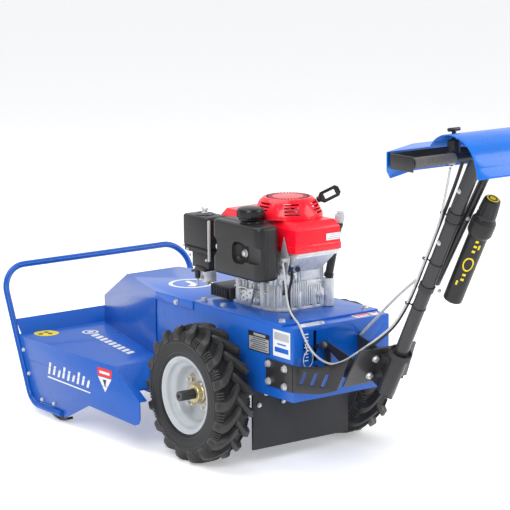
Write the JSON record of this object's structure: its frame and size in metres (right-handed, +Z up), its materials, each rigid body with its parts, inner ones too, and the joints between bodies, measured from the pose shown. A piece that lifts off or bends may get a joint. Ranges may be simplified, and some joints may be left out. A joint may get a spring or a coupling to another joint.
{
  "type": "brush mower",
  "caption": "Walk-behind brush mower: front cutting deck with bumper, two chevron-tyre wheels, vertical-shaft engine, belt drive and a leaning steering column with guarded grips.",
  "frame": {"origin": "on the ground under the middle of the machine's bounding box", "axes": "+X forward to the cutting deck, +Y to the machine's left, +Z up"},
  "size_m": [2.0325, 0.738, 1.066],
  "materials": {
    "blue_paint": "gloss",
    "hood_paint": "gloss",
    "black_steel": "satin",
    "rim_paint": "gloss",
    "zinc": "plated",
    "steel": "ground",
    "dark_steel": "oxide",
    "cast_aluminium": "cast",
    "cast_iron": "cast",
    "red_shroud": "gloss",
    "black_plastic": "moulded",
    "gloss_black": "moulded",
    "grey_foam": "foam",
    "rubber": "matt",
    "tyre": "moulded",
    "belt": "matt",
    "cable_grey": "satin"
  },
  "bodies": {
    "chassis": {"chassis_shell": "blue_paint", "engine_plate": "blue_paint", "deck_top": "blue_paint", "side_plates": "blue_paint", "skid_shoes": "dark_steel", "belt_cover": "blue_paint", "front_bumper": "blue_paint", "rear_flap": "rubber", "gearbox": "cast_iron", "bearings": "steel", "spindle_housing": "cast_iron", "vee_belts": "belt", "bracket_arms": "black_steel", "column_mount": "black_steel", "handle_column": "black_steel", "column_collar": "rubber", "handlebar": "black_steel", "grips": "grey_foam", "hand_straps": "black_steel", "hand_guards": "hood_paint", "console_hood": "hood_paint", "engine_base": "cast_aluminium", "engine_block": "cast_aluminium", "engine_shroud": "red_shroud", "recoil_cover": "red_shroud", "fuel_tank": "black_plastic", "air_cleaner": "black_plastic", "carburettor": "cast_aluminium", "muffler": "dark_steel", "oil_filler_tube": "black_plastic", "control_bracket": "steel", "document_canister": "black_plastic", "frame_bolts": "steel", "throttle_cable": "cable_grey", "clutch_conduit": "cable_grey", "control_loom": "rubber"},
    "drive_axle": {"axle_shaft": "dark_steel", "wheel_hubs": "zinc", "rim_left": "rim_paint", "rim_right": "rim_paint", "tyre_left": "tyre", "tyre_right": "tyre"},
    "crank_train": {"crankshaft": "steel", "crank_pulley": "cast_iron", "flywheel": "cast_aluminium"},
    "blade_rotor": {"spindle_shaft": "steel", "spindle_pulley": "cast_iron", "blade": "dark_steel"},
    "gearbox_input": {"input_pulley": "cast_iron"},
    "clutch_arm": {"idler_arm": "steel"},
    "clutch_roller": {"idler_pulley": "steel"},
    "starter_grip": {"recoil_grip": "gloss_black"},
    "tank_cap": {"fuel_cap": "gloss_black"},
    "oil_dipstick": {"dipstick": "cable_grey"},
    "wing_nut": {"filter_wing_nut": "steel"},
    "holder_cap": {"canister_cap": "black_plastic"},
    "left_lever": {"drive_lever": "steel"},
    "right_lever": {"blade_lever": "steel"},
    "plunger": {"release_plunger": "black_steel"},
    "shifter": {"gear_lever": "black_steel"}
  },
  "joints": [
    {"name": "axle_spin", "type": "hinge", "parent": "chassis", "child": "drive_axle", "pos_m": [0.04075, 0, 0.204], "axis": [0, 1, 0], "continuous": true},
    {"name": "blade_spin", "type": "hinge", "parent": "chassis", "child": "blade_rotor", "pos_m": [0.54075, 0, 0.345], "axis": [0, 0, 1], "continuous": true},
    {"name": "crank_spin", "type": "hinge", "parent": "chassis", "child": "crank_train", "pos_m": [-0.03925, 0, 0.345], "axis": [0, 0, 1], "continuous": true},
    {"name": "gearbox_input_spin", "type": "hinge", "parent": "chassis", "child": "gearbox_input", "pos_m": [0.11475, 0, 0.305], "axis": [0, 0, 1], "continuous": true},
    {"name": "clutch_arm_swing", "type": "hinge", "parent": "chassis", "child": "clutch_arm", "pos_m": [0.17075, 0.14, 0.36], "axis": [0, 0, 1], "range_deg": [-12, 0]},
    {"name": "clutch_roller_spin", "type": "hinge", "parent": "clutch_arm", "child": "clutch_roller", "pos_m": [0.26605, 0.10092, 0.346], "axis": [0, 0, 1], "continuous": true},
    {"name": "starter_pull", "type": "slide", "parent": "chassis", "child": "starter_grip", "axis": [-0.6519, -0.6018, 0.4614], "range_m": [0, 0.6], "stiffness_N_per_m": 15, "springref_m": -0.2},
    {"name": "fuel_cap_turn", "type": "hinge", "parent": "chassis", "child": "tank_cap", "pos_m": [-0.05225, 0.142, 0.71], "axis": [0, 0, 1], "range_deg": [0, 90]},
    {"name": "dipstick_pull", "type": "slide", "parent": "chassis", "child": "oil_dipstick", "axis": [-0.2166, -0.0527, 0.9748], "range_m": [0, 0.19]},
    {"name": "wing_nut_turn", "type": "hinge", "parent": "chassis", "child": "wing_nut", "pos_m": [0.20675, 0.12, 0.701], "axis": [0, 0, 1], "range_deg": [0, 360]},
    {"name": "holder_cap_turn", "type": "hinge", "parent": "chassis", "child": "holder_cap", "pos_m": [-0.84321, -0.062, 0.83401], "axis": [-0.4675, 0, 0.884], "range_deg": [0, 90]},
    {"name": "drive_lever_squeeze", "type": "hinge", "parent": "chassis", "child": "left_lever", "pos_m": [-0.86725, 0.095, 0.979], "axis": [0, 0, 1], "range_deg": [0, 12], "stiffness_Nm_per_rad": 1},
    {"name": "blade_lever_squeeze", "type": "hinge", "parent": "chassis", "child": "right_lever", "pos_m": [-0.86725, -0.095, 0.979], "axis": [0, 0, 1], "range_deg": [-12, 0], "stiffness_Nm_per_rad": 1},
    {"name": "plunger_pull", "type": "slide", "parent": "chassis", "child": "plunger", "axis": [0, 0, 1], "range_m": [0, 0.012], "stiffness_N_per_m": 400, "springref_m": -0.005},
    {"name": "gear_shift", "type": "hinge", "parent": "chassis", "child": "shifter", "pos_m": [-0.23525, 0.097, 0.352], "axis": [0, 1, 0], "range_deg": [-20, 20]}
  ],
  "couplings": [
    {"joint": "crank_spin", "follows": "blade_spin", "ratio": 1.1818},
    {"joint": "gearbox_input_spin", "follows": "blade_spin", "ratio": 0.65204},
    {"joint": "clutch_arm_swing", "follows": "blade_lever_squeeze", "ratio": 1}
  ]
}
